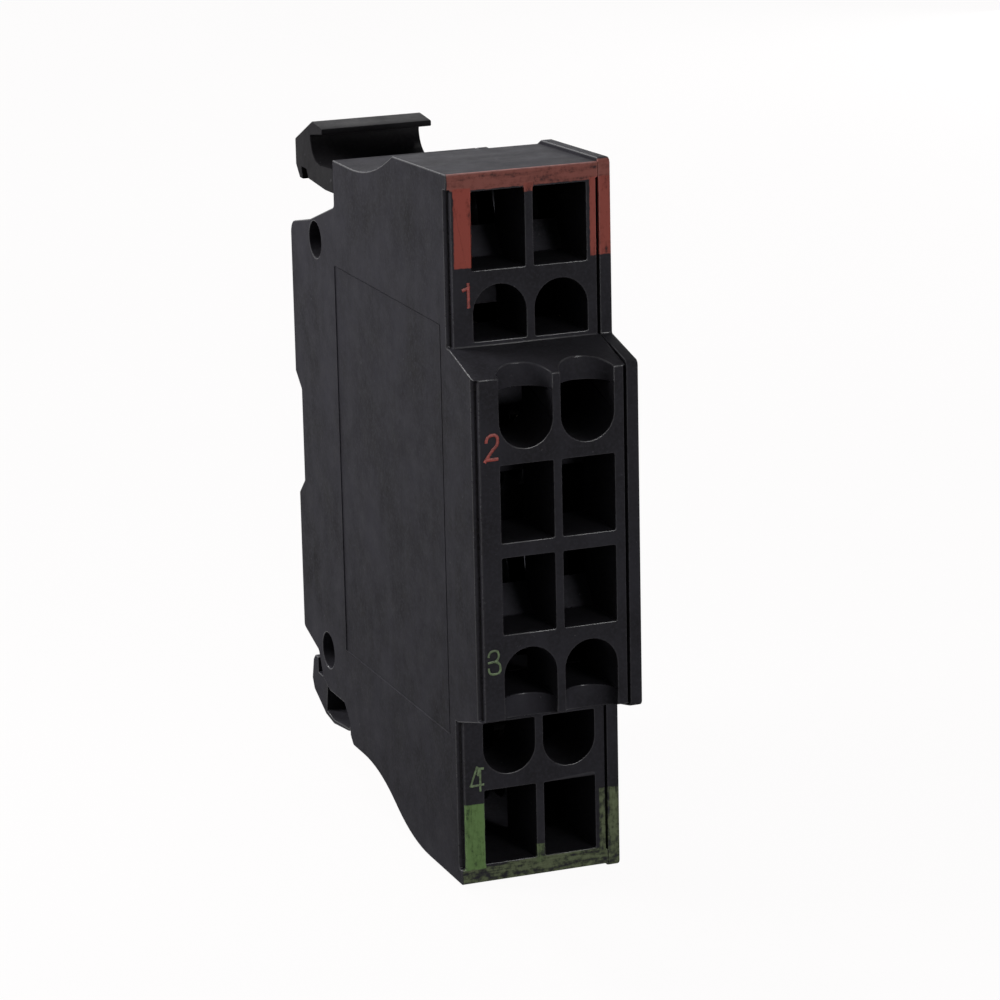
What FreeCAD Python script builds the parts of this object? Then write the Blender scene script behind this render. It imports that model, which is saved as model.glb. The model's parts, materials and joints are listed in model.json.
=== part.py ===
import FreeCAD, Part
import math
import os
import Sketcher
from FreeCAD import Placement, Rotation, Vector

# Clip-on contact block with one break pair and one make pair.
# Frame: X across the block, Y from the terminal face to the mounting plane, Z up.
# The origin is the centre of the plunger's push face, in the mounting plane y = 0.

# Driving dimensions in millimetres. A drop is measured inward from the top or bottom edge,
# a setback forward from the mounting plane, and every other height from the plane z = 0.
SIZES = {
    # outline of the block seen from the side
    "block_width": 10.0,
    "block_depth": 32.1,
    "step_depth": 3.75,
    "middle_height": 20.0,
    "end_height": 11.05,
    "shelf_fall": 1.05,
    "top_fall": 0.35,
    "top_length": 8.85,
    "notch_run": 4.2,
    "notch_drop": 2.3,
    "notch_radius": 16.0,
    "shoulder_setback": 8.6,
    "flange_top_drop": 7.5,
    "flange_bottom_drop": 8.2,
    "flange_run": 3.6,
    "flange_rise": 0.7,
    "flange_radius": 0.9,
    "corner_radius": 0.35,
    "recess_depth": 1.1,
    "recess_height": 5.9,
    "recess_mouth": 7.9,
    "heel_setback": 9.1,
    "heel_drop": 2.85,
    "sole_run": 8.45,
    "ramp_run": 6.0,
    "ramp_radius": 12.5,
    "bay_drop": 5.2,
    # walls
    "side_wall": 1.0,
    "edge_wall": 1.0,
    "notch_wall": 0.7,
    "cover_thickness": 0.75,
    "cover_pride": 0.2,
    "face_rabbet": 0.3,
    "rabbet_depth": 0.45,
    "parting_groove": 0.15,
    "rim_height": 0.9,
    "panel_depth": 0.06,
    "panel_back": 8.4,
    "panel_front": 26.9,
    "panel_drop": 8.85,
    # terminal openings
    "grid_depth": 4.8,
    "side_land": 1.53,
    "column_web": 0.54,
    "driver_height": 4.5,
    "opening_web": 0.9,
    "guide_start": 3.6,
    "guide_height": 1.65,
    "outer_rail_drop": 6.05,
    "inner_rail_drop": 4.6,
    # pegs that join the cover to the housing
    "peg_setback": 4.8,
    "peg_drop": 7.85,
    "peg_hole_radius": 1.15,
    "peg_clearance": 0.05,
    "peg_recess": 3.0,
    "peg_post_width": 3.5,
    "peg_post_drop": 7.05,
    # fixed hook at the foot and sprung hook on the lever
    "hook_inset": 1.15,
    "hook_margin": 1.65,
    "hook_slot": 0.95,
    "foot_reach": 2.25,
    "foot_tip_drop": 5.65,
    "foot_slot_drop": 4.65,
    "foot_bottom_drop": 1.97,
    "foot_rim": 0.3,
    "foot_pocket_depth": 1.5,
    "lever_gap": 0.3,
    "lever_headroom": 0.28,
    "lever_reach": 2.05,
    "lever_tip_fall": 0.2,
    "lever_thickness": 1.1,
    "arm_rise": 0.5,
    "arm_belly": 0.2,
    "lever_slot_rise": 0.55,
    "lever_back_rise": 2.2,
    "ridge_setback": 1.35,
    "ridge_rise": 3.75,
    "lip_setback": 3.3,
    "lip_rise": 3.55,
    "lip_thickness": 0.35,
    "channel_setback": 1.0,
    "channel_rise": 2.85,
    "channel_radius": 1.6,
    "pivot_setback": 9.9,
    "pivot_barrel": 0.8,
    "pivot_radius": 0.7,
    "pivot_clearance": 0.05,
    "pivot_bore_depth": 0.6,
    "pivot_end_play": 0.05,
    "tongue_length": 4.0,
    "tongue_width": 3.0,
    "tongue_thickness": 0.5,
    # plunger and its springs
    "travel": 4.0,
    "stem_width": 4.4,
    "stem_height": 4.8,
    "stem_clearance": 0.1,
    "carrier_front": 13.6,
    "beam_width": 3.0,
    "beam_thickness": 1.3,
    "window_height": 1.8,
    "window_cheek": 0.7,
    "window_end": 0.9,
    "bridge_play": 0.1,
    "bridge_drop": 1.85,
    "bridge_length": 6.3,
    "bridge_thickness": 0.6,
    "bridge_width": 3.0,
    "bridge_lost_motion": 0.8,
    "tip_pitch": 4.4,
    "tip_radius": 0.85,
    "tip_height": 0.4,
    "tip_gap": 0.02,
    "contact_spring_length": 2.8,
    "contact_spring_radius": 0.95,
    "contact_spring_wire": 0.24,
    "return_spring_radius": 1.5,
    "return_spring_wire": 0.34,
    "return_bore_depth": 6.0,
    "return_bore_radius": 1.95,
    "spring_seat": 18.6,
    "seat_thickness": 0.7,
    # terminal rails and their clamp springs
    "rail_thickness": 0.8,
    "rail_bend": 0.9,
    "rail_start": 5.2,
    "rail_side_gap": 0.65,
    "tongue_reach": 2.8,
    "neck_gap": 0.6,
    "neck_start": 12.6,
    "rail_drop": 1.8,
    "rail_drop_start": 13.6,
    "rail_drop_end": 10.9,
    "wire_stop_start": 9.5,
    "wire_stop_thickness": 0.8,
    "strip_thickness": 0.35,
    "strip_side_gap": 0.25,
    "strip_rail_width": 0.4,
    "strip_start": 8.2,
    "strip_loop": 11.6,
    "strip_loop_height": 2.6,
    "strip_loop_radius": 1.3,
    "strip_shoulder": 7.4,
    "strip_rise": 3.7,
    "strip_edge": 0.05,
    "strip_bar": 0.85,
    "strip_lean": 1.2,
}

SPRING_TURN_STEPS = 12
SPRING_WIRE_SIDES = 6
RETURN_SPRING_TURNS = 7
CONTACT_SPRING_TURNS = 3

doc = FreeCAD.newDocument("contact_block")
sheet = doc.addObject("Spreadsheet::Sheet", "sizes")


class Size:
    """A length that carries its value and the formula that ties it to the sheet."""

    def __init__(self, value, formula):
        self.value = value
        self.formula = formula

    def __add__(self, other):
        other = as_size(other)
        return Size(self.value + other.value, "(" + self.formula + " + " + other.formula + ")")

    def __sub__(self, other):
        other = as_size(other)
        return Size(self.value - other.value, "(" + self.formula + " - " + other.formula + ")")

    def __mul__(self, factor):
        return Size(self.value * factor, "(" + self.formula + " * " + str(factor) + ")")

    def __truediv__(self, factor):
        return Size(self.value / factor, "(" + self.formula + " / " + str(factor) + ")")

    def __neg__(self):
        return Size(-self.value, "(0 - " + self.formula + ")")


def as_size(number):
    """Let a plain zero stand where a Size is expected."""
    if isinstance(number, Size):
        return number
    return Size(float(number), str(float(number)))


def fill_sheet():
    """Write each driving dimension into its own row, as text with an alias."""
    for row, (alias, value) in enumerate(SIZES.items(), start=1):
        cell = "B" + str(row)
        sheet.set("A" + str(row), alias.replace("_", " "))
        sheet.set(cell, str(value))
        sheet.setAlias(cell, alias)
    doc.recompute()


def dim(alias):
    """The named driving dimension as a Size."""
    return Size(float(getattr(sheet, alias)), "sizes." + alias)


def new_body(label):
    body = doc.addObject("PartDesign::Body", label)
    body.Label = label
    return body


def sketch_on(body, role, name, offset=0):
    """A sketch on one of the body's own origin planes, moved along its normal."""
    plane = next(item for item in body.Origin.OriginFeatures if item.Role == role)
    sketch = body.newObject("Sketcher::SketchObject", name)
    sketch.AttachmentSupport = [(plane, "")]
    sketch.MapMode = "FlatFace"
    sketch.setExpression(".AttachmentOffset.Base.z", as_size(offset).formula)
    return sketch


def hold(sketch, kind, geometry, point, size):
    """Hold one coordinate of a sketch point at a size from the sheet."""
    size = as_size(size)
    index = sketch.addConstraint(Sketcher.Constraint(kind, -1, 1, geometry, point, size.value))
    sketch.setExpression("Constraints[" + str(index) + "]", size.formula)


def polygon(sketch, corners):
    """A closed outline of straight lines with each corner held at its two sizes."""
    corners = [(as_size(u), as_size(v)) for u, v in corners]
    first = sketch.GeometryCount
    count = len(corners)
    for here, there in zip(corners, corners[1:] + corners[:1]):
        start = Vector(here[0].value, here[1].value, 0)
        end = Vector(there[0].value, there[1].value, 0)
        sketch.addGeometry(Part.LineSegment(start, end), False)
    for index in range(count):
        following = first + (index + 1) % count
        sketch.addConstraint(Sketcher.Constraint("Coincident", first + index, 2, following, 1))
    for index, (u, v) in enumerate(corners):
        hold(sketch, "DistanceX", first + index, 1, u)
        hold(sketch, "DistanceY", first + index, 1, v)


def rectangle(sketch, left, right, low, high):
    polygon(sketch, [(left, low), (right, low), (right, high), (left, high)])


def circle(sketch, u, v, radius):
    """A circle with its centre and radius held by sizes."""
    u, v, radius = as_size(u), as_size(v), as_size(radius)
    geometry = sketch.addGeometry(
        Part.Circle(Vector(u.value, v.value, 0), Vector(0, 0, 1), radius.value), False)
    hold(sketch, "DistanceX", geometry, 3, u)
    hold(sketch, "DistanceY", geometry, 3, v)
    index = sketch.addConstraint(Sketcher.Constraint("Radius", geometry, radius.value))
    sketch.setExpression("Constraints[" + str(index) + "]", radius.formula)


def half_round(sketch, centre_u, flat_v, centre_v, radius):
    """A slot outline with one flat end at flat_v and one round end about centre_v."""
    centre_u, flat_v, centre_v = as_size(centre_u), as_size(flat_v), as_size(centre_v)
    left, right = centre_u - radius, centre_u + radius
    upward = centre_v.value > flat_v.value
    top = centre_v.value + (radius.value if upward else -radius.value)
    corner = [Vector(left.value, flat_v.value, 0), Vector(right.value, flat_v.value, 0)]
    spring = [Vector(left.value, centre_v.value, 0), Vector(right.value, centre_v.value, 0)]
    flat = sketch.addGeometry(Part.LineSegment(corner[0], corner[1]), False)
    side = sketch.addGeometry(Part.LineSegment(corner[1], spring[1]), False)
    crown = sketch.addGeometry(
        Part.Arc(spring[1], Vector(centre_u.value, top, 0), spring[0]), False)
    back = sketch.addGeometry(Part.LineSegment(spring[0], corner[0]), False)
    # an arc is stored anticlockwise, so its start is on the right only when it bulges upward
    start, end = (1, 2) if upward else (2, 1)
    sketch.addConstraint(Sketcher.Constraint("Coincident", flat, 2, side, 1))
    sketch.addConstraint(Sketcher.Constraint("Coincident", side, 2, crown, start))
    sketch.addConstraint(Sketcher.Constraint("Coincident", crown, end, back, 1))
    sketch.addConstraint(Sketcher.Constraint("Coincident", back, 2, flat, 1))
    for line, u, v in ((flat, left, flat_v), (side, right, flat_v), (back, left, centre_v)):
        hold(sketch, "DistanceX", line, 1, u)
        hold(sketch, "DistanceY", line, 1, v)
    hold(sketch, "DistanceX", side, 2, right)
    hold(sketch, "DistanceY", side, 2, centre_v)
    hold(sketch, "DistanceY", crown, 3, centre_v)


def extrude(body, kind, sketch, length, reverse=False, both_ways=False):
    """Pad or pocket a sketch by a length from the sheet and check that it changed the solid."""
    before = body.Shape.Volume if body.Tip else 0.0
    feature = body.newObject("PartDesign::" + kind, sketch.Name + "_" + kind.lower())
    feature.Profile = sketch
    feature.setExpression("Length", as_size(length).formula)
    feature.Reversed = reverse
    feature.Midplane = both_ways
    sketch.Visibility = False
    doc.recompute()
    change = feature.Shape.Volume - before
    if (change <= 0) == (kind == "Pad"):
        raise RuntimeError(feature.Name + " changed nothing")
    return feature


def edges_along_x(shape, spots):
    """Names of the straight edges that run across the block at the given (y, z) spots."""
    names = []
    for index, edge in enumerate(shape.Edges, start=1):
        box = edge.BoundBox
        if box.XLength < 0.1 or box.YLength > 1e-4 or box.ZLength > 1e-4:
            continue
        if any(abs(box.YMin - y.value) < 0.01 and abs(box.ZMin - z.value) < 0.01 for y, z in spots):
            names.append("Edge" + str(index))
    return names


def round_edges(body, feature, spots, radius, name):
    """Round the edges across the block at each (y, z) spot."""
    names = edges_along_x(feature.Shape, spots)
    if len(names) < len(spots):
        raise RuntimeError(name + " found too few edges")
    fillet = body.newObject("PartDesign::Fillet", name)
    fillet.Base = (feature, names)
    fillet.setExpression("Radius", radius.formula)
    doc.recompute()
    return fillet


def solid_feature(label, shape, offset=Vector(0, 0, 0)):
    """A sub-part whose shape is worked out here from the sheet's sizes."""
    feature = doc.addObject("Part::Feature", label)
    feature.Label = label
    feature.Shape = shape
    feature.Placement = Placement(offset, Rotation())
    return feature


# Places that several sub-parts share
def half_width():
    return dim("block_width") / 2


def parting():
    """The plane where the cover meets the housing."""
    return half_width() - dim("cover_thickness")


def top_edge():
    """The top edge of the housing; the bottom edge is as far below the middle plane."""
    return dim("middle_height") / 2 + dim("end_height")


def inside_edge(alias):
    """A height given by its drop below the top edge."""
    return top_edge() - dim(alias)


def middle_face():
    return -dim("block_depth")


def outer_face():
    return -dim("block_depth") + dim("step_depth")


def doorway_lintel():
    """The underside of the notch wall, over the doorway that the lever passes through."""
    return inside_edge("notch_drop") - dim("notch_wall")


def lever_underside():
    """The underside of the lever, its arm and its headroom below the lintel."""
    arm = dim("lever_thickness") + dim("arm_rise")
    return doorway_lintel() - dim("lever_headroom") - arm


def shoulder_foot():
    """The sill of the doorway, just clear of the lever that lies over it."""
    return lever_underside() - dim("lever_gap")


def inner_rail():
    """Height of the rails of terminals 2 and 3, below the shelf."""
    return dim("middle_height") / 2 - dim("inner_rail_drop")


def bridge_height():
    """Height of each contact bridge's middle, below the shelf."""
    return dim("middle_height") / 2 - dim("bridge_drop")


def lever_pivot():
    """Height of the lever's pivot, at the middle of its arm."""
    return lever_underside() + dim("lever_thickness") / 2


def opening_width():
    """Two openings and the web between them fill the face between its side lands."""
    return half_width() - dim("side_land") - dim("column_web") / 2


def column_centres():
    pitch = opening_width() + dim("column_web")
    return (-pitch / 2, pitch / 2)


def wire_offset():
    """How far a wire entry's centre lies from its rail's middle plane."""
    return dim("opening_web") / 2 + opening_width() / 2


def rail_edge():
    """The right edge of the terminal rails, clear of the cover."""
    return parting() - dim("rail_side_gap")


def terminals():
    """Number, face, rail height and the side of the rail that the clamp spring is on."""
    outer, inner = inside_edge("outer_rail_drop"), inner_rail()
    return (
        (1, outer_face(), outer, 1),
        (2, middle_face(), inner, -1),
        (3, middle_face(), -inner, 1),
        (4, outer_face(), -outer, -1),
    )


def side_outline(pride=0):
    """Corners of the side view from the top rim round the front, the foot and the back."""
    top = top_edge() + pride
    shelf = dim("middle_height") / 2
    heel = -inside_edge("heel_drop")
    bay = -inside_edge("bay_drop")
    heel_back = -dim("shoulder_setback")
    sole_end = outer_face() + dim("sole_run")
    ramp_end = sole_end + dim("ramp_run")
    neck = -inside_edge("flange_bottom_drop") - dim("edge_wall") * 0.9
    return [
        (outer_face(), top),
        (outer_face(), shelf + dim("shelf_fall")),
        (middle_face(), shelf + pride),
        (middle_face(), -shelf - pride),
        (outer_face(), -shelf - dim("shelf_fall")),
        (outer_face(), -top),
        (sole_end, -top),
        (ramp_end, heel),
        (-dim("heel_setback"), heel),
        (heel_back, heel + dim("corner_radius") * 1.5),
        (heel_back, bay - dim("shelf_fall")),
        (heel_back + dim("edge_wall"), bay),
        (-dim("peg_setback"), bay),
        (-dim("flange_run"), -inside_edge("foot_tip_drop")),
        (-dim("flange_run") + dim("edge_wall") * 0.8, neck),
        (0, -inside_edge("flange_bottom_drop")),
        (0, -dim("recess_mouth") / 2),
        (-dim("recess_depth"), -dim("recess_height") / 2),
        (-dim("recess_depth"), dim("recess_height") / 2),
        (0, dim("recess_mouth") / 2),
        (0, inside_edge("flange_top_drop")),
        (-dim("flange_run"), inside_edge("flange_top_drop") + dim("flange_rise")),
        (heel_back, shoulder_foot()),
        (heel_back, inside_edge("notch_drop")),
        (outer_face() + dim("top_length") + dim("notch_run"), inside_edge("notch_drop")),
        (outer_face() + dim("top_length"), top - dim("top_fall")),
    ]


def soft_corners(outline):
    """The corners of the side view that are rounded to the small moulding radius."""
    return [outline[index] for index in (8, 11, 12, 14, 15, 22)]


def front_corners(pride):
    """The outer corners of the terminal face, as the side view gives them."""
    outline = side_outline(pride)
    return [(as_size(y), as_size(z)) for y, z in (outline[index] for index in (0, 2, 3, 5))]


def rounded_block(body, name, start, width, pride=0):
    """The solid between two planes across the block, with its curved stretches."""
    sketch = sketch_on(body, "YZ_Plane", name, start)
    outline = [(as_size(y), as_size(z)) for y, z in side_outline(pride)]
    polygon(sketch, outline)
    block = extrude(body, "Pad", sketch, width)
    block = round_edges(body, block, [outline[24]], dim("notch_radius"), name + "_notch")
    block = round_edges(body, block, outline[6:8], dim("ramp_radius"), name + "_sole")
    block = round_edges(body, block, [outline[20]], dim("flange_radius"), name + "_flange")
    return round_edges(body, block, soft_corners(outline), dim("corner_radius"), name + "_corners")


def cavity_outline():
    """Corners of the hollow inside the housing, one wall in from the side view."""
    wall = dim("edge_wall")
    top = top_edge() - wall
    outer_back = outer_face() + dim("grid_depth")
    middle_back = middle_face() + dim("grid_depth")
    waist = dim("middle_height") / 2 - wall
    shoulder = -dim("shoulder_setback")
    sill = shoulder_foot() - wall
    sole_end = outer_face() + dim("sole_run")
    ramp_end = sole_end + dim("ramp_run")
    recess = -dim("recess_depth") - wall
    top_end = outer_face() + dim("top_length")
    ceiling = doorway_lintel()
    return [
        (outer_back, top),
        (outer_back, waist),
        (middle_back, waist),
        (middle_back, -waist),
        (outer_back, -waist),
        (outer_back, -top),
        (sole_end - wall / 4, -top),
        (ramp_end - wall / 4, -inside_edge("heel_drop") + wall),
        (shoulder - wall * 2, -inside_edge("heel_drop") + wall),
        (shoulder, -inside_edge("bay_drop") + wall),
        (-dim("peg_setback"), -inside_edge("bay_drop") + wall),
        (-dim("flange_run") - wall / 2, -inside_edge("flange_bottom_drop")),
        (-wall, -inside_edge("flange_bottom_drop") + wall),
        (-wall, -dim("recess_mouth") / 2 - wall / 2),
        (recess, -dim("recess_height") / 2 - wall / 2),
        (recess, dim("recess_height") / 2 + wall / 2),
        (-wall, dim("recess_mouth") / 2 + wall / 2),
        (-wall, inside_edge("flange_top_drop") - wall),
        (-dim("flange_run"), inside_edge("flange_top_drop") + dim("flange_rise") - wall),
        (shoulder - wall / 2, sill),
        (shoulder - wall / 2, shoulder_foot() + wall / 8),
        (shoulder + wall / 2, shoulder_foot() + wall / 8),
        (shoulder + wall / 2, ceiling),
        (top_end + dim("notch_run"), ceiling),
        (top_end - wall / 4, top - dim("top_fall")),
    ]


def cut_terminal_openings(body):
    """Square operating openings and half-round wire entries, two of each at every terminal."""
    half = opening_width() / 2
    for number, face, rail, side in terminals():
        driver_near = rail + dim("opening_web") / 2 * side
        driver_far = driver_near + dim("driver_height") * side
        sketch = sketch_on(body, "XZ_Plane", "driver_openings_" + str(number), -face)
        for centre in column_centres():
            rectangle(sketch, centre - half, centre + half, driver_near, driver_far)
        extrude(body, "Pocket", sketch, dim("grid_depth") + dim("edge_wall"))
        wire = rail - wire_offset() * side
        flat = wire - half * side
        sketch = sketch_on(body, "XZ_Plane", "wire_entries_" + str(number), -face)
        for centre in column_centres():
            half_round(sketch, centre, flat, wire, half)
        extrude(body, "Pocket", sketch, dim("grid_depth") + dim("edge_wall"))


def add_blade_guides(body):
    """Ramps that lead a screwdriver blade from each operating opening to its clamp spring."""
    half = opening_width() / 2
    left, right = column_centres()
    for number, face, rail, side in terminals():
        near = rail + dim("opening_web") / 2 * side
        start = face + dim("guide_start")
        end = face + dim("grid_depth")
        sketch = sketch_on(body, "YZ_Plane", "blade_guide_" + str(number), left - half)
        polygon(sketch, [(start, near), (end, near), (end, near + dim("guide_height") * side)])
        extrude(body, "Pad", sketch, right - left + half * 2)


def cut_wire_scoops(body):
    """Upright half-round scoops that lead wires over both edges of the middle section."""
    half = opening_width() / 2
    entry = inner_rail() + wire_offset()
    reach = dim("middle_height") / 2 + dim("shelf_fall") + dim("edge_wall") / 2
    for name, place, reverse in (("upper_scoops", reach, False), ("lower_scoops", -reach, True)):
        sketch = sketch_on(body, "XY_Plane", name, place)
        for centre in column_centres():
            half_round(sketch, centre, middle_face() - dim("edge_wall"), middle_face(), half)
        extrude(body, "Pocket", sketch, reach - entry, reverse)


def cut_face_rabbets(body):
    """Narrow steps down the left edge and the parting line of each front face."""
    left = -half_width()
    rim = top_edge() - dim("rim_height")
    shelf = dim("middle_height") / 2
    spans = (
        ("rabbet_upper", outer_face(), shelf + dim("shelf_fall"), rim),
        ("rabbet_middle", middle_face(), -shelf, shelf),
        ("rabbet_lower", outer_face(), -rim, -shelf - dim("shelf_fall")),
    )
    for name, face, low, high in spans:
        sketch = sketch_on(body, "XZ_Plane", name, -face)
        rectangle(sketch, left, left + dim("face_rabbet"), low, high)
        rectangle(sketch, parting() - dim("parting_groove"), parting(), low, high)
        extrude(body, "Pocket", sketch, dim("rabbet_depth"))


def hook_start():
    """The left face of both hooks, set in from the side of the block."""
    return -half_width() + dim("hook_inset")


def hook_width():
    return half_width() - dim("hook_margin") - hook_start()


def foot_underside():
    """Lower corners of the fixed hook, from its back to where it meets the body."""
    bottom = -inside_edge("foot_bottom_drop")
    corner = dim("corner_radius")
    reach = dim("foot_reach")
    return [
        (reach, -inside_edge("foot_slot_drop") - corner * 2),
        (reach - corner, -inside_edge("foot_slot_drop") - corner * 4),
        (-corner, bottom + corner * 0.6),
        (-dim("foot_reach") + corner, bottom),
        (-dim("peg_setback"), bottom + dim("foot_rim") * 1.2),
        (-dim("shoulder_setback"), -inside_edge("bay_drop") - dim("edge_wall") * 1.2),
    ]


def add_fixed_hook(body):
    """The hook at the foot that catches the lower edge of the carrier."""
    slot = dim("hook_slot")
    tip = -inside_edge("foot_tip_drop")
    corner = dim("corner_radius")
    back = dim("foot_reach") - corner
    sketch = sketch_on(body, "YZ_Plane", "fixed_hook", hook_start())
    polygon(sketch, [
        (0, -inside_edge("flange_bottom_drop")),
        (0, -inside_edge("foot_slot_drop")),
        (slot, -inside_edge("foot_slot_drop")),
        (slot, tip),
        (back - corner, tip),
        (back, tip - corner),
    ] + foot_underside() + [
        (-dim("shoulder_setback"), -inside_edge("bay_drop") + dim("edge_wall")),
        (-dim("flange_run"), -inside_edge("flange_bottom_drop")),
    ])
    return extrude(body, "Pad", sketch, hook_width())


def cut_foot_pocket(body):
    """The weight-saving pocket in the left side of the fixed hook, inside its rim."""
    under = foot_underside()
    rim = dim("foot_rim")
    back = -dim("foot_reach") / 4
    high = -inside_edge("bay_drop") - dim("edge_wall")
    sketch = sketch_on(body, "YZ_Plane", "foot_pocket", hook_start())
    polygon(sketch, [
        (back, under[2][1] + rim),
        (under[3][0], under[3][1] + rim),
        (under[4][0], under[4][1] + rim * 0.7),
        (-dim("shoulder_setback") + rim, high),
        (under[4][0], high + rim),
        (back - rim, high + rim * 0.5),
    ])
    extrude(body, "Pocket", sketch, dim("foot_pocket_depth"), reverse=True)


def add_inner_ribs(body, width):
    """The return spring's seat, the peg posts and a wire stop under every rail."""
    ribs = sketch_on(body, "YZ_Plane", "inner_ribs", parting())
    seat_front = -dim("spring_seat") - dim("seat_thickness")
    half_stem = dim("stem_height") / 2
    rectangle(ribs, seat_front, -dim("spring_seat"), -half_stem, half_stem)
    post_front = -dim("peg_setback") - dim("peg_post_width") / 2
    post_back = post_front + dim("peg_post_width")
    post_inner = inside_edge("peg_drop") - dim("peg_post_width") / 2
    rectangle(ribs, post_front, post_back, post_inner, inside_edge("peg_post_drop"))
    rectangle(ribs, post_front, post_back, -inside_edge("peg_post_drop"), -post_inner)
    for number, face, rail, side in terminals():
        stop = face + dim("wire_stop_start")
        near = rail - dim("rail_thickness") / 2 * side
        far = rail - (wire_offset() + opening_width() / 2) * side
        low, high = (far, near) if side > 0 else (near, far)
        rectangle(ribs, stop, stop + dim("wire_stop_thickness"), low, high)
    extrude(body, "Pad", ribs, width, reverse=True)


def build_housing():
    """The tub that carries the terminal face, the fixed hook and every inner piece."""
    body = new_body("housing")
    left = -half_width()
    rounded_block(body, "side_outline", left, dim("block_width") - dim("cover_thickness"))
    add_fixed_hook(body)
    cavity = sketch_on(body, "YZ_Plane", "cavity", parting())
    polygon(cavity, cavity_outline())
    inner_width = dim("block_width") - dim("cover_thickness") - dim("side_wall")
    extrude(body, "Pocket", cavity, inner_width)
    add_inner_ribs(body, inner_width)
    cut_terminal_openings(body)
    add_blade_guides(body)
    cut_wire_scoops(body)
    cut_face_rabbets(body)
    cut_foot_pocket(body)
    bore = sketch_on(body, "XZ_Plane", "plunger_bore")
    play = dim("stem_clearance")
    across = dim("stem_width") / 2 + play
    up = dim("stem_height") / 2 + play
    rectangle(bore, -across, across, -up, up)
    extrude(body, "Pocket", bore, dim("recess_depth") + dim("edge_wall") * 2, reverse=True)
    pegs = sketch_on(body, "YZ_Plane", "peg_holes", parting())
    for side in (1, -1):
        circle(pegs, -dim("peg_setback"), inside_edge("peg_drop") * side, dim("peg_hole_radius"))
    extrude(body, "Pocket", pegs, dim("block_width"))
    pivot = sketch_on(body, "YZ_Plane", "pivot_bore", left + dim("side_wall"))
    circle(pivot, -dim("pivot_setback"), lever_pivot(), dim("pivot_radius") + dim("pivot_clearance"))
    extrude(body, "Pocket", pivot, dim("pivot_bore_depth"))
    panel = sketch_on(body, "YZ_Plane", "side_panel", left)
    reach = inside_edge("panel_drop")
    rectangle(panel, -dim("panel_front"), -dim("panel_back"), -reach, reach)
    extrude(body, "Pocket", panel, dim("panel_depth"), reverse=True)
    return body


def build_cover():
    """The side plate that closes the housing, with its two joining pegs."""
    body = new_body("side_cover")
    pride = dim("cover_pride")
    plate = rounded_block(body, "cover_outline", parting(), dim("cover_thickness"), pride)
    round_edges(body, plate, front_corners(pride), dim("corner_radius"), "cover_front_corners")
    pegs = sketch_on(body, "YZ_Plane", "pegs", parting())
    for side in (1, -1):
        radius = dim("peg_hole_radius") - dim("peg_clearance")
        circle(pegs, -dim("peg_setback"), inside_edge("peg_drop") * side, radius)
    reach = dim("block_width") - dim("cover_thickness") - dim("peg_recess")
    extrude(body, "Pad", pegs, reach, reverse=True)
    pivot = sketch_on(body, "YZ_Plane", "cover_pivot_bore", parting())
    circle(pivot, -dim("pivot_setback"), lever_pivot(), dim("pivot_radius") + dim("pivot_clearance"))
    depth = dim("cover_thickness") * 0.6
    extrude(body, "Pocket", pivot, depth, reverse=True)
    return body


def build_lever():
    """The sprung hook lever: arm, open channel for a blade, back hook, pivot and spring tongue."""
    body = new_body("latch_lever")
    under = lever_underside()
    floor = under + dim("lever_thickness")
    slot = dim("hook_slot")
    reach = dim("lever_reach")
    corner = dim("corner_radius")
    sketch = sketch_on(body, "YZ_Plane", "lever_profile", hook_start())
    outline = [
        (-dim("pivot_setback"), under),
        (-dim("flange_run"), under - dim("arm_belly")),
        (-corner, under),
        (0, under + dim("lever_slot_rise")),
        (slot, under + dim("lever_slot_rise")),
        (slot - corner / 2, under - dim("lever_tip_fall")),
        (reach - corner * 2, under - dim("lever_tip_fall")),
        (reach, under + dim("lever_slot_rise")),
        (reach, under + dim("lever_back_rise")),
        (-dim("ridge_setback"), under + dim("ridge_rise")),
        (-dim("lip_setback"), under + dim("lip_rise")),
        (-dim("lip_setback"), under + dim("lip_rise") - dim("lip_thickness")),
        (-dim("channel_setback"), under + dim("channel_rise")),
        (-dim("channel_setback"), floor),
        (-dim("shoulder_setback"), floor + dim("arm_rise")),
        (-dim("pivot_setback"), floor),
    ]
    outline = [(as_size(y), as_size(z)) for y, z in outline]
    polygon(sketch, outline)
    lever = extrude(body, "Pad", sketch, hook_width())
    round_edges(body, lever, [outline[13]], dim("channel_radius"), "channel_floor")
    height = lever_pivot()
    barrel = sketch_on(body, "YZ_Plane", "barrel", hook_start())
    circle(barrel, -dim("pivot_setback"), height, dim("pivot_barrel"))
    extrude(body, "Pad", barrel, hook_width())
    near = -half_width() + dim("side_wall") - dim("pivot_bore_depth") + dim("pivot_end_play")
    far = parting() + dim("cover_thickness") * 0.6 - dim("pivot_end_play")
    trunnion = sketch_on(body, "YZ_Plane", "trunnions", near)
    circle(trunnion, -dim("pivot_setback"), height, dim("pivot_radius"))
    extrude(body, "Pad", trunnion, far - near)
    tongue = sketch_on(body, "YZ_Plane", "spring_tongue")
    half = dim("tongue_thickness") / 2
    front = -dim("pivot_setback") - dim("tongue_length")
    rectangle(tongue, front, -dim("pivot_setback"), height - half, height + half)
    extrude(body, "Pad", tongue, dim("tongue_width"), both_ways=True)
    return body


def carrier_y():
    """Distances from the mounting plane, all forward, of the moving contact system at rest."""
    spring = dim("contact_spring_length")
    bridge = dim("bridge_thickness")
    break_seat = dim("carrier_front") - dim("beam_thickness")
    break_front = break_seat - spring
    break_back = break_front - bridge
    make_back = break_seat - spring / 2 - bridge / 2 - dim("bridge_lost_motion") * 0.625
    make_front = make_back + bridge
    make_seat = make_back - spring
    return {
        "break_seat": break_seat,
        "break_front": break_front,
        "break_back": break_back,
        "make_front": make_front,
        "make_back": make_back,
        "make_seat": make_seat,
    }


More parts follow.
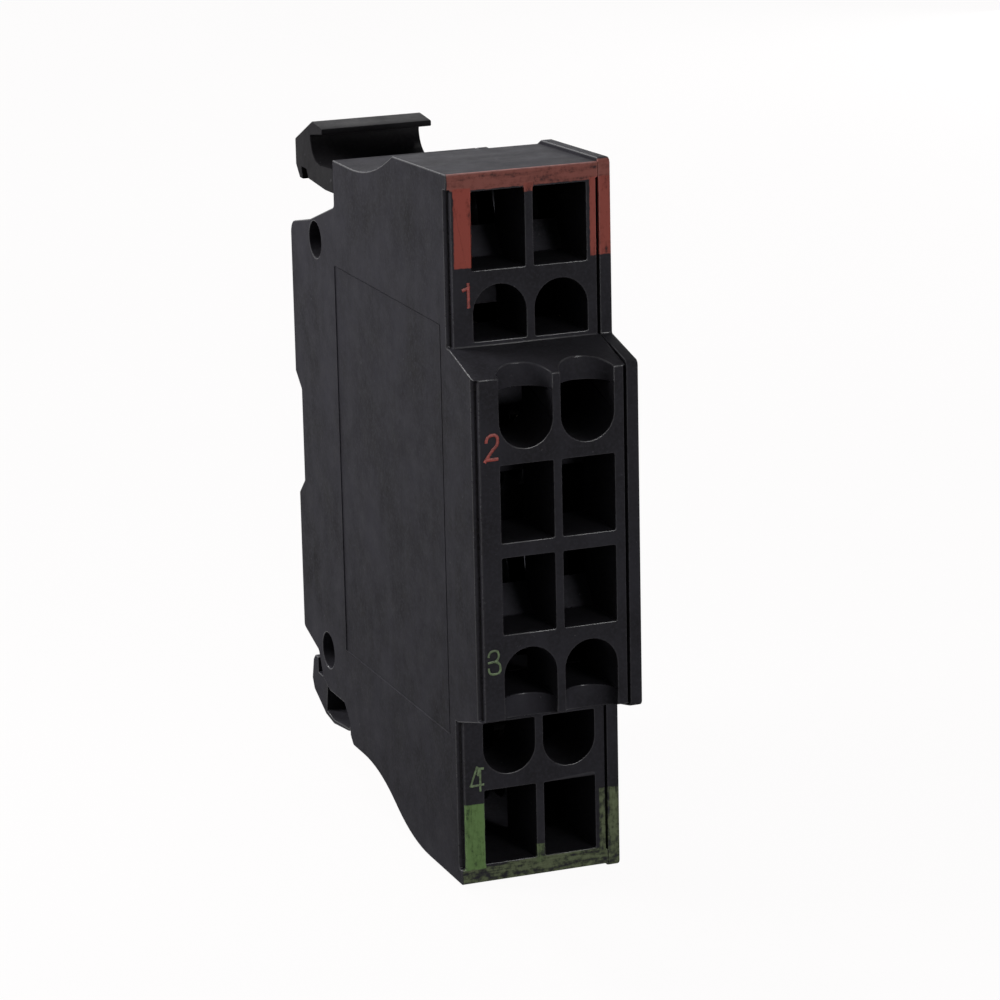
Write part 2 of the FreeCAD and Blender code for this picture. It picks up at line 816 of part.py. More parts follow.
def build_plunger():
    """The contact carrier: push stem with one window frame above and one below."""
    body = new_body("plunger")
    places = carrier_y()
    stem = sketch_on(body, "XZ_Plane", "stem")
    across, up = dim("stem_width") / 2, dim("stem_height") / 2
    rectangle(stem, -across, across, -up, up)
    extrude(body, "Pad", stem, dim("carrier_front"))
    frame_low = bridge_height() - dim("window_height") / 2
    frame_high = bridge_height() + dim("window_height") / 2
    make_rear = places["make_seat"] - dim("beam_thickness")
    beams = sketch_on(body, "YZ_Plane", "beams")
    overlap = dim("stem_height") / 4
    rectangle(beams, -dim("carrier_front"), -places["break_seat"], overlap, frame_high)
    rectangle(beams, -places["make_seat"], -make_rear, -frame_high, -overlap)
    extrude(body, "Pad", beams, dim("beam_width"), both_ways=True)
    # lost motion of the bridge is left free between its back face and the end of its window
    break_end = places["break_back"] - dim("bridge_lost_motion") - dim("tip_gap")
    make_end = places["make_front"] + dim("tip_gap")
    frames = sketch_on(body, "YZ_Plane", "window_frames")
    rectangle(frames, -dim("carrier_front"), -break_end + dim("window_end"), frame_low, frame_high)
    rectangle(frames, -make_end - dim("window_end"), -make_rear, -frame_high, -frame_low)
    inner = dim("bridge_width") + dim("bridge_play") * 2
    extrude(body, "Pad", frames, inner + dim("window_cheek") * 2, both_ways=True)
    windows = sketch_on(body, "YZ_Plane", "windows")
    margin = dim("window_end")
    rectangle(windows, -places["break_seat"], -break_end, frame_low - margin, frame_high + margin)
    rectangle(windows, -make_end, -places["make_seat"], -frame_high - margin, -frame_low + margin)
    extrude(body, "Pocket", windows, inner, both_ways=True)
    bore = sketch_on(body, "XZ_Plane", "return_bore", dim("carrier_front"))
    circle(bore, 0, 0, dim("return_bore_radius"))
    extrude(body, "Pocket", bore, dim("return_bore_depth"))
    return body


def box_feature(label, x, y, z):
    """A box between pairs of sizes, as a parametric primitive."""
    box = doc.addObject("Part::Box", label)
    for name, pair in (("Length", x), ("Width", y), ("Height", z)):
        box.setExpression(name, (pair[1] - pair[0]).formula)
    for axis, pair in (("x", x), ("y", y), ("z", z)):
        box.setExpression(".Placement.Base." + axis, pair[0].formula)
    box.Label = label
    return box


def build_bridges():
    """The two moving contact bridges."""
    places = carrier_y()
    half_x = dim("bridge_width") / 2
    half_z = dim("bridge_length") / 2
    rows = (
        ("break_bridge", places["break_front"], places["break_back"], 1),
        ("make_bridge", places["make_front"], places["make_back"], -1),
    )
    made = []
    for label, front, back, side in rows:
        centre = bridge_height() * side
        made.append(box_feature(label, (-half_x, half_x), (-front, -back),
                                (centre - half_z, centre + half_z)))
    return made


def tip_cylinder(label, y_start, z_centre):
    """One contact tip, a flat-faced button with its axis along the travel."""
    tip = doc.addObject("Part::Cylinder", label)
    tip.setExpression("Radius", dim("tip_radius").formula)
    tip.setExpression("Height", dim("tip_height").formula)
    tip.Placement = Placement(Vector(0, 0, 0), Rotation(Vector(1, 0, 0), -90))
    tip.setExpression(".Placement.Base.y", y_start.formula)
    tip.setExpression(".Placement.Base.z", z_centre.formula)
    tip.Label = label
    return tip


def break_plate_front():
    """The front face of the fixed plates that the break bridge rests against."""
    places = carrier_y()
    return -places["break_back"] + dim("tip_height") * 2 + dim("tip_gap")


def make_plate_back():
    """The back face of the fixed plates that the make bridge closes on."""
    places = carrier_y()
    closing = dim("travel") - dim("bridge_lost_motion") + dim("tip_gap")
    return -places["make_front"] - dim("tip_height") * 2 - closing


def build_tips():
    """Contact tips: one on each fixed rail and a pair on each bridge."""
    places = carrier_y()
    half = dim("tip_pitch") / 2
    centre = bridge_height()
    fixed_break = break_plate_front() - dim("tip_height")
    made = [
        tip_cylinder("contact_tip_1", fixed_break, centre + half),
        tip_cylinder("contact_tip_2", fixed_break, centre - half),
        tip_cylinder("contact_tip_3", make_plate_back(), half - centre),
        tip_cylinder("contact_tip_4", make_plate_back(), -centre - half),
    ]
    pairs = (
        ("break_bridge_tips", -places["break_back"], centre),
        ("make_bridge_tips", -places["make_front"] - dim("tip_height"), -centre),
    )
    for label, start, middle in pairs:
        both = [tip_cylinder(label + "_" + end, start, middle + half * side)
                for end, side in (("upper", 1), ("lower", -1))]
        pair = doc.addObject("Part::Compound", label)
        pair.Links = both
        pair.Label = label
        made.append(pair)
    return made


def bent_path(points, radius):
    """A wire of straight runs in the (y, z) plane joined by tangent arcs."""
    points = [Vector(0, y, z) for y, z in points]
    edges = []
    start = points[0]
    for before, corner, after in zip(points, points[1:], points[2:]):
        towards = (before - corner).normalize()
        away = (after - corner).normalize()
        half_angle = towards.getAngle(away) / 2
        cut = radius / math.tan(half_angle)
        bisector = (towards + away).normalize()
        middle = corner + bisector * (radius / math.sin(half_angle) - radius)
        arc_start, arc_end = corner + towards * cut, corner + away * cut
        edges.append(Part.LineSegment(start, arc_start).toShape())
        edges.append(Part.Arc(arc_start, middle, arc_end).toShape())
        start = arc_end
    edges.append(Part.LineSegment(start, points[-1]).toShape())
    return Part.Wire(edges)


def bent_sheet(points, radius, thickness, left, right):
    """Sheet metal folded along a path of (y, z) points on its middle line."""
    half = bent_path(points, radius).makeOffset2D(thickness / 2, 0, True, True, False)
    other = bent_path(points, radius).makeOffset2D(-thickness / 2, 0, True, True, False)
    across = Vector(right - left, 0, 0)
    sheet_metal = half.extrude(across).fuse(other.extrude(across)).removeSplitter()
    sheet_metal.translate(Vector(left, 0, 0))
    return sheet_metal


def cut_block(shape, x, y, z):
    """Cut the box between three pairs of values out of a shape."""
    low = Vector(min(x), min(y), min(z))
    return shape.cut(Part.makeBox(abs(x[1] - x[0]), abs(y[1] - y[0]), abs(z[1] - z[0]), low))


def rail_points(number, face, rail):
    """Middle line of one terminal rail, from its clamp end to its fixed contact plate."""
    start = (face + dim("rail_start")).value
    height = rail.value
    half = dim("rail_thickness").value / 2
    beyond = dim("window_height").value / 2 + dim("window_cheek").value * 0.4
    side = 1 if rail.value > 0 else -1
    outer_end = side * (bridge_height().value + beyond)
    inner_end = side * (bridge_height().value - beyond)
    break_line = break_plate_front().value + half
    make_line = make_plate_back().value - half
    if number == 1:
        drop = height - dim("rail_drop").value
        return [(start, height), (-dim("rail_drop_start").value, height),
                (-dim("rail_drop_end").value, drop), (break_line, drop), (break_line, outer_end)]
    if number == 2:
        return [(start, height), (break_line, height), (break_line, inner_end)]
    end = inner_end if number == 3 else outer_end
    return [(start, height), (make_line, height), (make_line, end)]


def build_rails():
    """Four terminal rails, each with two tongues for the clamps and a fixed contact plate."""
    made = []
    left = (-half_width() + dim("side_wall")).value
    right = rail_edge().value
    thick = dim("rail_thickness").value
    clear = thick * 3
    for number, face, rail, side in terminals():
        points = rail_points(number, face, rail)
        shape = bent_sheet(points, dim("rail_bend").value, thick, left, right)
        start = (face + dim("rail_start")).value
        root = start + dim("tongue_reach").value
        height = rail.value
        half = strip_window().value / 2 - dim("bridge_play").value * 1.5
        inner = [centre.value for centre in column_centres()]
        gaps = ((left, inner[0] - half), (inner[0] + half, inner[1] - half), (inner[1] + half, right))
        for gap in gaps:
            shape = cut_block(shape, gap, (start, root), (height - clear, height + clear))
        if number == 2:
            neck = (dim("bridge_width") / 2 + dim("neck_gap")).value
            back = points[1][0]
            shoulder = (face + dim("neck_start")).value
            plate = back - thick / 2
            sides = (height - clear, height + clear)
            shape = cut_block(shape, (left, neck), (shoulder, plate), sides)
            shape = cut_block(shape, (left, -neck), (plate, back + clear), sides)
        made.append(solid_feature("terminal_rail_" + str(number), shape))
    return made


def strip_width():
    return opening_width() - dim("strip_side_gap") * 2


def strip_window():
    """Width of the window in a clamp spring that the rail's tongue passes through."""
    return strip_width() - dim("strip_rail_width") * 2


def clamp_spring_shape():
    """One clamp spring about its rail: u from the face, v away from the rail's middle plane."""
    thick = dim("strip_thickness").value
    rest = dim("rail_thickness").value / 2 + thick / 2
    loop = dim("strip_loop").value
    top = rest + dim("strip_loop_height").value
    shoulder = dim("strip_shoulder").value
    rise = rest + dim("strip_rise").value - thick
    edge = -dim("rail_thickness").value / 2 - dim("strip_edge").value
    toe = edge - dim("strip_bar").value
    points = [
        (dim("strip_start").value, rest),
        (loop, rest),
        (loop, top),
        (shoulder, rise),
        (shoulder - dim("strip_lean").value, toe),
    ]
    half = strip_width().value / 2
    shape = bent_sheet(points, dim("strip_loop_radius").value * 0.98, thick, -half, half)
    window = strip_window().value / 2
    lean = dim("strip_lean").value
    return cut_block(shape, (-window, window), (shoulder - lean - thick * 2, shoulder),
                     (edge, rest + thick * 3))


def build_clamps():
    """Eight clamp springs, two at each terminal, each hung on its rail."""
    made = []
    shape = clamp_spring_shape()
    for number, face, rail, side in terminals():
        for column, centre in zip(("left", "right"), column_centres()):
            copy = shape.copy()
            if side < 0:
                copy = copy.mirror(Vector(0, 0, 0), Vector(0, 0, 1))
            label = "clamp_spring_" + str(number) + "_" + column
            place = Vector(centre.value, face.value, rail.value)
            made.append(solid_feature(label, copy, place))
    return made


def coil_shape(radius, wire, length, turns):
    """A closed-section coil about the Y axis, lofted between sections set along a helix."""
    steps = turns * SPRING_TURN_STEPS
    run = length - wire
    sections = []
    for step in range(steps + 1):
        angle = 2 * math.pi * step / SPRING_TURN_STEPS
        along = wire / 2 + run * step / steps
        outward = Vector(math.cos(angle), 0, math.sin(angle))
        corners = []
        for side in range(SPRING_WIRE_SIDES):
            turn = 2 * math.pi * side / SPRING_WIRE_SIDES
            reach = radius + wire / 2 * math.cos(turn)
            corners.append(outward * reach + Vector(0, along + wire / 2 * math.sin(turn), 0))
        sections.append(Part.makePolygon(corners + corners[:1]))
    return Part.makeLoft(sections, True, True)


def build_springs():
    """The plunger's return spring and the pressure spring behind each bridge."""
    places = carrier_y()
    contact = coil_shape(dim("contact_spring_radius").value, dim("contact_spring_wire").value,
                         dim("contact_spring_length").value, CONTACT_SPRING_TURNS)
    free = dim("spring_seat").value - dim("carrier_front").value + dim("return_bore_depth").value
    long_coil = coil_shape(dim("return_spring_radius").value, dim("return_spring_wire").value,
                           free, RETURN_SPRING_TURNS)
    height = bridge_height().value
    return [
        solid_feature("return_spring", long_coil, Vector(0, -dim("spring_seat").value, 0)),
        solid_feature("break_pressure_spring", contact,
                      Vector(0, -places["break_seat"].value, height)),
        solid_feature("make_pressure_spring", contact.copy(),
                      Vector(0, -places["make_back"].value, -height)),
    ]


def check(parts):
    """Stop if any object failed to build or any sub-part is not a valid solid."""
    for item in doc.Objects:
        if "Invalid" in item.State or "Error" in item.State:
            raise RuntimeError(item.Name + " failed: " + str(item.State))
    for item in parts:
        if item.Shape.isNull() or not item.Shape.isValid() or not item.Shape.Solids:
            raise RuntimeError(item.Label + " has no valid solid")


def write(parts):
    os.makedirs("parts", exist_ok=True)
    for item in parts:
        item.Shape.exportStep("parts/" + item.Label + ".step")
        print(item.Label, round(item.Shape.Volume, 3), len(item.Shape.Solids))


fill_sheet()
parts = [build_housing(), build_cover(), build_lever(), build_plunger()]
parts += build_bridges()
parts += build_tips()
parts += build_rails()
parts += build_clamps()
parts += build_springs()
doc.recompute()
check(parts)
write(parts)
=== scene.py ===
import json
import math

import bpy
from bpy.props import FloatProperty, FloatVectorProperty, IntProperty, PointerProperty
from mathutils import Matrix, Vector

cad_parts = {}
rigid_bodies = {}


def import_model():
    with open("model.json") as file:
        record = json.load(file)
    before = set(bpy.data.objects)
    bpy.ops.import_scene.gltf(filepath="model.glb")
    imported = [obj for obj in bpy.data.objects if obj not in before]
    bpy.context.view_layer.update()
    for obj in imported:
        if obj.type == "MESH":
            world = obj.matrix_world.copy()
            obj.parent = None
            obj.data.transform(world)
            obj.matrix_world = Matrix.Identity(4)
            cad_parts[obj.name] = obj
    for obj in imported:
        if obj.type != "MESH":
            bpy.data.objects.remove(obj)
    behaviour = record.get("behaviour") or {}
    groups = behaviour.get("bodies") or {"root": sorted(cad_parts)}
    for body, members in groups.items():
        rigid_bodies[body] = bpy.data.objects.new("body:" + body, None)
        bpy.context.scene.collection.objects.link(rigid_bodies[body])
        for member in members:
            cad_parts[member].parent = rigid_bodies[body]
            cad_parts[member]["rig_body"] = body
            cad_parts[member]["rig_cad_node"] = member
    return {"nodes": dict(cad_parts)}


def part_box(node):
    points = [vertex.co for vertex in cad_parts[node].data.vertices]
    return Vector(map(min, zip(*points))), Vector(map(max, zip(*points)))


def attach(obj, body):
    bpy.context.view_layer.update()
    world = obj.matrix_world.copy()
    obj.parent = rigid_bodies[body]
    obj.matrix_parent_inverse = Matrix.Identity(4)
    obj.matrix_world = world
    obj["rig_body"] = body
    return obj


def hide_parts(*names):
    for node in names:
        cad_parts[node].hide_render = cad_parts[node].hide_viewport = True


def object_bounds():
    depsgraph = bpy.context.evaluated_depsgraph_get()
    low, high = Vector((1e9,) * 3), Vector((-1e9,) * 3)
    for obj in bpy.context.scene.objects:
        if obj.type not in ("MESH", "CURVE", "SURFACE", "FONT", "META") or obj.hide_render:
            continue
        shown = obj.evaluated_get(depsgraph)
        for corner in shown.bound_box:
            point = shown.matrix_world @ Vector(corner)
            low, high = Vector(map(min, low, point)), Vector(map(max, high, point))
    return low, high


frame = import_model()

bl_info = {
    "name": "Contact Block Dressing",
    "version": (1, 0, 0),
    "blender": (4, 5, 0),
    "location": "3D View > Sidebar > Contact Block",
    "description": "Mouldings, lacquer, spring metal and studio for a clip-on contact block",
    "category": "Object",
}

MM = 0.001
CAD_LOW, CAD_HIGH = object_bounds()
HOUSING_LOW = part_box("housing")[0]

# The stepped front: the two end faces stand back from the middle face.
MIDDLE_FACE = HOUSING_LOW.y
END_FACE = MIDDLE_FACE + 3.75 * MM

# The side panel and its step: front edge, back edge, and half its height.
PANEL_FRONT = -27.1 * MM
PANEL_BACK = -8.2 * MM
PANEL_HALF_HEIGHT = 12.4 * MM

# Edges sharper than this are rounded, and faces that meet at less than this shade smoothly.
SHARP_EDGE = math.radians(40)
SMOOTH_EDGE = math.radians(32)

# Brushed-on lacquer on the end faces: low and high corners across and up in millimetres, the
# share that has stayed on, how far it has faded, and the way the brush went.
RED_FIELDS = (
    ((-4.9, 20.06), (5.1, 21.4), 0.79, 0.35, "across"),
    ((-4.55, 15.65), (-3.5, 20.2), 0.97, 0.0, "up"),
    ((3.72, 15.68), (5.1, 20.2), 0.88, 0.1, "up"),
    ((-0.3, 19.7), (0.3, 20.2), 0.8, 0.2, "up"),
)
GREEN_FIELDS = (
    ((-4.9, -21.4), (5.1, -20.0), 0.6, 0.55, "across"),
    ((-4.77, -20.2), (-3.5, -16.18), 0.84, 0.0, "up"),
    ((3.72, -20.3), (5.1, -16.3), 0.55, 0.55, "up"),
    ((-0.3, -20.3), (0.3, -19.2), 0.5, 0.4, "up"),
)
# Length, depth and breadth of a brush mark in millimetres along X, Y and Z.
BRUSH_MARKS = {"across": (2.2, 0.5, 0.3), "up": (0.3, 0.5, 2.2)}
# How far in front of the end face and behind it the lacquer is looked for.
LACQUER_PROUD = 0.2 * MM
LACQUER_DEEP = 0.16 * MM


def hex_colour(text):
    """An sRGB hex value as linear red, green and blue, and full alpha."""
    channels = [int(text[i : i + 2], 16) / 255 for i in (1, 3, 5)]
    linear = [c / 12.92 if c <= 0.04045 else ((c + 0.055) / 1.055) ** 2.4 for c in channels]
    return (*linear, 1.0)


# Dust and scratched-up fibre ends on the plastic, and what bleached lacquer tends to
FLECK = hex_colour("#77767A")
BLEACHED = hex_colour("#7A6F69")


def per_metre(millimetres):
    """Noise scale whose features are about this many millimetres across."""
    return 1 / (millimetres * MM)


def add_node(tree, kind, settings=None, **inputs):
    """Add one node, set its properties, and fill its sockets with values or links."""
    node = tree.nodes.new(kind)
    for name, value in (settings or {}).items():
        setattr(node, name, value)
    for name, value in inputs.items():
        key = int(name[1:]) if name[0] == "i" and name[1:].isdigit() else name.replace("_", " ")
        socket = node.inputs[key]
        if isinstance(value, bpy.types.NodeSocket):
            tree.links.new(value, socket)
        else:
            socket.default_value = value
    return node


def new_material(name):
    """An empty node material with its output and shader, and Object coordinates to hang on."""
    material = bpy.data.materials.new(name)
    material.use_nodes = True
    tree = material.node_tree
    tree.nodes.clear()
    shader = add_node(tree, "ShaderNodeBsdfPrincipled")
    output = add_node(tree, "ShaderNodeOutputMaterial")
    tree.links.new(shader.outputs["BSDF"], output.inputs["Surface"])
    place = add_node(tree, "ShaderNodeTexCoord").outputs["Object"]
    return material, tree, shader, place


def noise(tree, place, size, detail=2.0, roughness=0.5):
    """Noise between 0 and 1 with features of the given size in millimetres."""
    node = add_node(
        tree, "ShaderNodeTexNoise", None, Vector=place, Scale=per_metre(size), Detail=detail,
        Roughness=roughness,
    )
    return node.outputs["Fac"]


def stretched_noise(tree, place, sizes):
    """Noise whose features have their own size in millimetres along X, Y and Z."""
    mapping = add_node(tree, "ShaderNodeMapping", None, Vector=place)
    mapping.inputs["Scale"].default_value = [per_metre(size) for size in sizes]
    node = add_node(
        tree, "ShaderNodeTexNoise", None, Vector=mapping.outputs["Vector"], Scale=1.0, Detail=3.0,
        Roughness=0.6,
    )
    return node.outputs["Fac"]


def maths(tree, operation, *values):
    """One Math node on values or links."""
    settings = {"operation": operation}
    inputs = {f"i{index}": value for index, value in enumerate(values)}
    return add_node(tree, "ShaderNodeMath", settings, **inputs).outputs["Value"]


def blend_colour(tree, amount, first, second):
    """One colour fading to another as amount goes from 0 to 1."""
    node = add_node(tree, "ShaderNodeMix", {"data_type": "RGBA"}, Factor=amount)
    for index, colour in ((6, first), (7, second)):
        if isinstance(colour, bpy.types.NodeSocket):
            tree.links.new(colour, node.inputs[index])
        else:
            node.inputs[index].default_value = colour
    return node.outputs[2]


def spread(tree, value, low, high, to_low=0.0, to_high=1.0):
    """Stretch a value's range from low..high to to_low..to_high."""
    node = add_node(tree, "ShaderNodeMapRange", None, Value=value)
    limits = {"From Min": low, "From Max": high, "To Min": to_low, "To Max": to_high}
    for name, number in limits.items():
        node.inputs[name].default_value = number
    return node.outputs["Result"]


def within(tree, axes, low, high):
    """1 inside the box between two corners, fading out over a few hundredths of a millimetre."""
    fade = 0.03 * MM
    result = None
    for axis, start, end in zip(axes, low, high):
        middle, half = (start + end) / 2, (end - start) / 2
        away = maths(tree, "ABSOLUTE", maths(tree, "SUBTRACT", axis, middle))
        inside = spread(tree, away, half + fade, half - fade)
        result = inside if result is None else maths(tree, "MULTIPLY", result, inside)
    return result


def add_bump(tree, shader, heights):
    """Chain bump nodes, each a height, its depth in millimetres and its strength."""
    normal = None
    for height, depth, strength in heights:
        node = add_node(
            tree, "ShaderNodeBump", None, Height=height, Distance=depth * MM, Strength=strength
        )
        if normal is not None:
            tree.links.new(normal, node.inputs["Normal"])
        normal = node.outputs["Normal"]
    tree.links.new(normal, shader.inputs["Normal"])


def moulded_polyamide(name, colour, pale, grain, roughness, sheen_level):
    """Glass-filled polyamide from a spark-eroded mould: a dull charcoal skin with a fine even
    grain, faint flow clouding a few millimetres across, drawn out along the height of the
    block as it is where hands and neighbours rub it, and a little scuffing."""
    material, tree, shader, place = new_material(name)
    cloud = noise(tree, place, 4.0, 4.0, 0.6)
    rubbed = stretched_noise(tree, place, (1.2, 1.2, 9.0))
    speck = noise(tree, place, 0.22, 3.0, 0.65)
    fleck = noise(tree, place, 0.45, 4.0, 0.7)
    scuff = noise(tree, place, 1.6, 4.0, 0.65)
    base = blend_colour(tree, spread(tree, cloud, 0.25, 0.75), colour, pale)
    base = blend_colour(tree, spread(tree, rubbed, 0.5, 0.75, 0.0, 0.5), base, pale)
    base = blend_colour(tree, spread(tree, speck, 0.45, 0.7, 0.0, 0.8), base, pale)
    base = blend_colour(tree, spread(tree, fleck, 0.68, 0.76, 0.0, 0.5), base, FLECK)
    rough = spread(tree, scuff, 0.3, 0.7, roughness - 0.06, roughness + 0.1)
    tree.links.new(base, shader.inputs["Base Color"])
    tree.links.new(rough, shader.inputs["Roughness"])
    shader.inputs["IOR"].default_value = 1.53
    # the grain scatters most of the skin's gloss, so the sheen is lower than a smooth moulding's
    shader.inputs["Specular IOR Level"].default_value = sheen_level
    # the true grit is near 0.03 mm; it is drawn at the grain size so that it shows
    add_bump(tree, shader, [(noise(tree, place, grain, 2.0), 0.012, 0.5), (cloud, 0.04, 0.15)])
    return material, tree, shader, place, base, rough


def lacquer(tree, axes, place, fields, base, rough, colour):
    """Lay brushed lacquer over a base colour and roughness, thin and worn as each field says."""
    for low, high, kept, faded, brush in fields:
        outer = (low[0] * MM, END_FACE - LACQUER_PROUD, low[1] * MM)
        inner = (high[0] * MM, END_FACE + LACQUER_DEEP, high[1] * MM)
        marks = stretched_noise(tree, place, BRUSH_MARKS[brush])
        chips = noise(tree, place, 0.35, 4.0, 0.65)
        strokes = maths(tree, "MULTIPLY", maths(tree, "ADD", marks, chips), 0.5)
        # noise lies mostly between 0.3 and 0.7, so the kept share sets where it is cut
        cut = 0.68 - 0.36 * kept
        stays = spread(tree, strokes, cut - 0.06, cut + 0.06)
        amount = maths(tree, "MULTIPLY", within(tree, axes, outer, inner), stays)
        full = [a + (b - a) * faded for a, b in zip(colour, BLEACHED)]
        thin = [channel * 0.6 for channel in full[:3]] + [1.0]
        depth = spread(tree, strokes, cut, cut + 0.16)
        coat = blend_colour(tree, depth, thin, full)
        base = blend_colour(tree, amount, base, coat)
        mixed = add_node(tree, "ShaderNodeMix", None, Factor=amount, A=rough, B=0.4)
        rough = mixed.outputs["Result"]
    return base, rough


def case_material(settings, name, roughness, sheen_level):
    """The housing's and cover's polyamide with the red and green lacquer on its end faces. The
    grain leaves the flat skin dull, and handling has rubbed the rounded edges smoother."""
    material, tree, shader, place, base, rough = moulded_polyamide(
        name, settings.case_colour, settings.case_pale, settings.grain / MM, roughness, sheen_level
    )
    # ragged edges: the place is nudged by noise before the fields are tested
    nudge = 0.16 * MM
    wobble = add_node(
        tree, "ShaderNodeTexNoise", None, Vector=place, Scale=per_metre(0.5), Detail=3.0
    )
    shift = add_node(
        tree, "ShaderNodeVectorMath", {"operation": "MULTIPLY_ADD"}, i0=wobble.outputs["Color"],
        i1=(nudge,) * 3, i2=(-nudge / 2,) * 3,
    )
    moved = add_node(
        tree, "ShaderNodeVectorMath", {"operation": "ADD"}, i0=place, i1=shift.outputs["Vector"]
    )
    split = add_node(tree, "ShaderNodeSeparateXYZ", None, Vector=moved.outputs["Vector"])
    axes = [split.outputs[name] for name in "XYZ"]
    base, rough = lacquer(tree, axes, place, RED_FIELDS, base, rough, settings.red_colour)
    base, rough = lacquer(tree, axes, place, GREEN_FIELDS, base, rough, settings.green_colour)
    tree.links.new(base, shader.inputs["Base Color"])
    tree.links.new(rough, shader.inputs["Roughness"])
    return material


def lever_material(settings):
    """Unfilled polyamide from a polished mould: the same charcoal, darker and smoother."""
    return moulded_polyamide(
        "moulded_polyamide_smooth", settings.lever_colour, settings.case_colour,
        settings.grain / MM, 0.36, 0.015,
    )[0]


def carrier_material():
    """Natural acetal, milky and slightly waxy, as moulded slides are."""
    material, tree, shader, place = new_material("moulded_acetal_natural")
    cloud = spread(tree, noise(tree, place, 2.5, 3.0), 0.3, 0.7)
    base = blend_colour(tree, cloud, hex_colour("#CFCABB"), hex_colour("#DDD9CC"))
    tree.links.new(base, shader.inputs["Base Color"])
    shader.inputs["Roughness"].default_value = 0.38
    shader.inputs["IOR"].default_value = 1.48
    add_bump(tree, shader, [(noise(tree, place, 0.2, 2.0), 0.006, 0.4)])
    return material


def metal(name, dull, bright, roughness, streak):
    """A rolled or drawn metal: fine lines along one way, with cloudier patches from handling.
    streak holds the three sizes of a line in millimetres along X, Y and Z."""
    material, tree, shader, place = new_material(name)
    lines = stretched_noise(tree, place, streak)
    patches = noise(tree, place, 1.2, 3.0)
    base = blend_colour(tree, spread(tree, patches, 0.35, 0.65), dull, bright)
    rough = spread(tree, lines, 0.3, 0.7, roughness - 0.07, roughness + 0.1)
    tree.links.new(base, shader.inputs["Base Color"])
    tree.links.new(rough, shader.inputs["Roughness"])
    shader.inputs["Metallic"].default_value = 1.0
    add_bump(tree, shader, [(lines, 0.004, 0.35)])
    return material


def ink(name, colour):
    """Pad-printed ink: a thin film, uneven where the plastic's grain shows through."""
    material, tree, shader, place = new_material(name)
    thin = noise(tree, place, 0.25, 3.0, 0.6)
    dark = [channel * 0.5 for channel in colour[:3]] + [1.0]
    base = blend_colour(tree, spread(tree, thin, 0.38, 0.6), dark, colour)
    tree.links.new(base, shader.inputs["Base Color"])
    shader.inputs["Roughness"].default_value = 0.5
    add_bump(tree, shader, [(thin, 0.006, 0.5)])
    return material


def select_only(piece):
    """Leave just this object selected and active."""
    bpy.ops.object.select_all(action="DESELECT")
    piece.select_set(True)
    bpy.context.view_layer.objects.active = piece


def settle(piece):
    """Put the object at the origin, unturned and unscaled, with its place in its mesh."""
    select_only(piece)
    bpy.ops.object.transform_apply(location=True, rotation=True, scale=True)


def soft_edged(node_name, piece_name, width, segments, skin, edge):
    """A copy of a CAD node with its triangles merged and its sharp edges rounded as moulded,
    the faces in one finish and the rounded edges in another."""
    select_only(frame["nodes"][node_name])
    bpy.ops.object.duplicate()
    piece = bpy.context.view_layer.objects.active
    piece.name = piece_name
    piece.parent = None
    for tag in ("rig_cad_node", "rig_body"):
        if tag in piece:
            del piece[tag]
    bpy.ops.object.mode_set(mode="EDIT")
    bpy.ops.mesh.select_all(action="SELECT")
    bpy.ops.mesh.customdata_custom_splitnormals_clear()
    bpy.ops.mesh.remove_doubles(threshold=0.002 * MM)
    bpy.ops.mesh.dissolve_limited(angle_limit=math.radians(0.5), delimit={"NORMAL"})
    bpy.ops.object.mode_set(mode="OBJECT")
    bevel = piece.modifiers.new("edge_radius", "BEVEL")
    bevel.limit_method = "ANGLE"
    bevel.angle_limit = SHARP_EDGE
    bevel.width = width
    bevel.segments = segments
    bevel.use_clamp_overlap = False
    bevel.miter_outer = "MITER_ARC"
    piece.data.materials.clear()
    piece.data.materials.append(skin)
    piece.data.materials.append(edge)
    bevel.material = 1
    bpy.ops.object.modifier_apply(modifier=bevel.name)
    bpy.ops.object.shade_smooth_by_angle(angle=SMOOTH_EDGE)
    # large flat faces keep their own normals, so that only the rounded edges shade as round
    normals = piece.modifiers.new("face_normals", "WEIGHTED_NORMAL")
    normals.keep_sharp = True
    bpy.ops.object.modifier_apply(modifier=normals.name)
    # the hair-thin step round the side panel is too low to be rubbed bright
    for face in piece.data.polygons:
        if abs(face.center.x - HOUSING_LOW.x) < 0.1 * MM and on_panel(face.center):
            face.material_index = 0
    return piece


def on_panel(spot):
    """Whether a spot lies within the side panel or its step."""
    return PANEL_FRONT < spot.y < PANEL_BACK and abs(spot.z) < PANEL_HALF_HEIGHT


def give_material(piece, material):
    """Make this the piece's only material."""
    piece.data.materials.clear()
    piece.data.materials.append(material)


def finish_piece(piece, body, slot, *nodes):
    """Hang a finished piece on its body and hide the CAD nodes that it stands for."""
    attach(piece, body)
    if nodes:
        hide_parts(*nodes)


